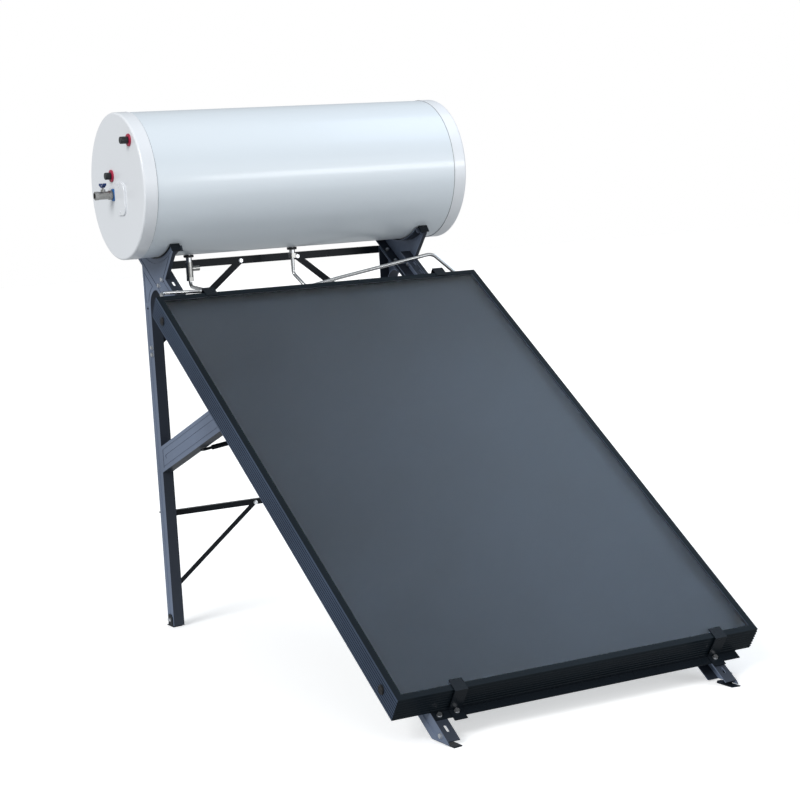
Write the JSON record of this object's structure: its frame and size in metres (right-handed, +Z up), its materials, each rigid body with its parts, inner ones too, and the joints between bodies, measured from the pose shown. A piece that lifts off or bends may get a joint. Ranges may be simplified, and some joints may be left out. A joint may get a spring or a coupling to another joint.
{
  "type": "solar water heater",
  "caption": "Flat-plate solar collector on a sloping folded-steel stand, feeding a horizontal insulated storage tank above it through bent pipes, with a stop valve on the cold inlet.",
  "frame": {"origin": "on the ground, under the middle of the whole heater", "axes": "+X to the right along the tank as seen from the collector side, +Y to the back, +Z up"},
  "size_m": [1.327, 2.165, 1.849],
  "materials": {
    "jacket_enamel": "gloss light grey-white enamel",
    "cap_enamel": "gloss white enamel",
    "frame_black": "satin black anodised extrusion",
    "solar_glass": "clear low-iron sheet with a fine texture",
    "absorber_coating": "matte dark blue selective coating",
    "mineral_wool": "matte",
    "foam": "matte rigid foam",
    "gasket_rubber": "satin",
    "black_rubber": "matte",
    "black_plastic": "fine moulded texture",
    "red_washer": "satin",
    "blue_washer": "satin",
    "blue_handle": "satin",
    "zinc_fasteners": "bright zinc",
    "stand_paint": "satin powder coat, dark slate blue",
    "clamp_black": "satin powder coat",
    "galvanised_sheet": "galvanised",
    "stainless": "bright stainless",
    "nickel_brass": "nickel plated brass",
    "copper_tube": "bare copper",
    "magnesium": "dull cast magnesium",
    "valve_seat_plastic": "satin"
  },
  "bodies": {
    "heater": {"absorber_plate": "absorber_coating", "anode_rod": "magnesium", "bottom_stubs": "stainless", "cold_pipe": "stainless", "cold_port_washer": "blue_washer", "collector_back_sheet": "galvanised_sheet", "collector_bottom_profile": "frame_black", "collector_cross_beams": "clamp_black", "collector_glass": "solar_glass", "collector_insulation": "mineral_wool", "collector_left_profile": "frame_black", "collector_right_profile": "frame_black", "collector_top_profile": "frame_black", "corner_struts": "clamp_black", "front_feet": "clamp_black", "glass_gasket": "gasket_rubber", "header_grommets": "black_rubber", "header_plugs": "black_rubber", "header_tubes": "copper_tube", "heater_cover": "cap_enamel", "heating_element": "stainless", "hot_pipe": "stainless", "hot_port_washers": "red_washer", "inner_tank": "stainless", "left_knee_brace": "stand_paint", "left_rail": "stand_paint", "left_rail_head": "stand_paint", "left_rear_leg": "stand_paint", "lower_clamps": "clamp_black", "middle_cross_bar": "clamp_black", "port_grommets": "black_rubber", "port_nipples": "stainless", "rear_feet": "clamp_black", "right_knee_brace": "stand_paint", "right_rail": "stand_paint", "right_rail_head": "stand_paint", "right_rear_leg": "stand_paint", "riser_tubes": "copper_tube", "saddle_nuts": "zinc_fasteners", "stand_bolts": "zinc_fasteners", "supply_tee": "nickel_brass", "tank_insulation": "foam", "tank_jacket": "jacket_enamel", "tank_left_cap": "cap_enamel", "tank_right_cap": "cap_enamel", "tank_saddles": "clamp_black", "tie_rod": "clamp_black", "top_cross_bar": "clamp_black", "union_nuts": "nickel_brass", "upper_clamps": "clamp_black", "valve_body": "nickel_brass", "valve_seats": "valve_seat_plastic"},
    "valve_handle_set": {"valve_handle": "blue_handle", "handle_nut": "zinc_fasteners", "valve_stem": "nickel_brass", "valve_ball": "nickel_brass"},
    "hot_seal": {"hot_port_seal": "black_rubber"},
    "hot_cap": {"hot_port_cap": "black_plastic"},
    "relief_seal": {"relief_port_seal": "black_rubber"},
    "relief_cap": {"relief_port_cap": "black_plastic"}
  },
  "joints": [
    {"name": "handle_turn", "type": "hinge", "parent": "heater", "child": "valve_handle_set", "pos_m": [-0.6315, 0.8645, 1.566], "axis": [0, 0, 1], "range_deg": [0, 90]},
    {"name": "hot_cap_travel", "type": "slide", "parent": "heater", "child": "hot_seal", "axis": [-1, 0, 0], "range_m": [0, 0.00726]},
    {"name": "hot_cap_turn", "type": "hinge", "parent": "hot_seal", "child": "hot_cap", "pos_m": [-0.6135, 0.6815, 1.748], "axis": [-1, 0, 0], "range_deg": [0, 1440]},
    {"name": "relief_cap_travel", "type": "slide", "parent": "heater", "child": "relief_seal", "axis": [-1, 0, 0], "range_m": [0, 0.00726]},
    {"name": "relief_cap_turn", "type": "hinge", "parent": "relief_seal", "child": "relief_cap", "pos_m": [-0.6085, 0.8695, 1.632], "axis": [-1, 0, 0], "range_deg": [0, 1440]}
  ],
  "couplings": [
    {"joint": "hot_cap_travel", "follows": "hot_cap_turn", "m_per_rad": 0.0002887},
    {"joint": "relief_cap_travel", "follows": "relief_cap_turn", "m_per_rad": 0.0002887}
  ]
}
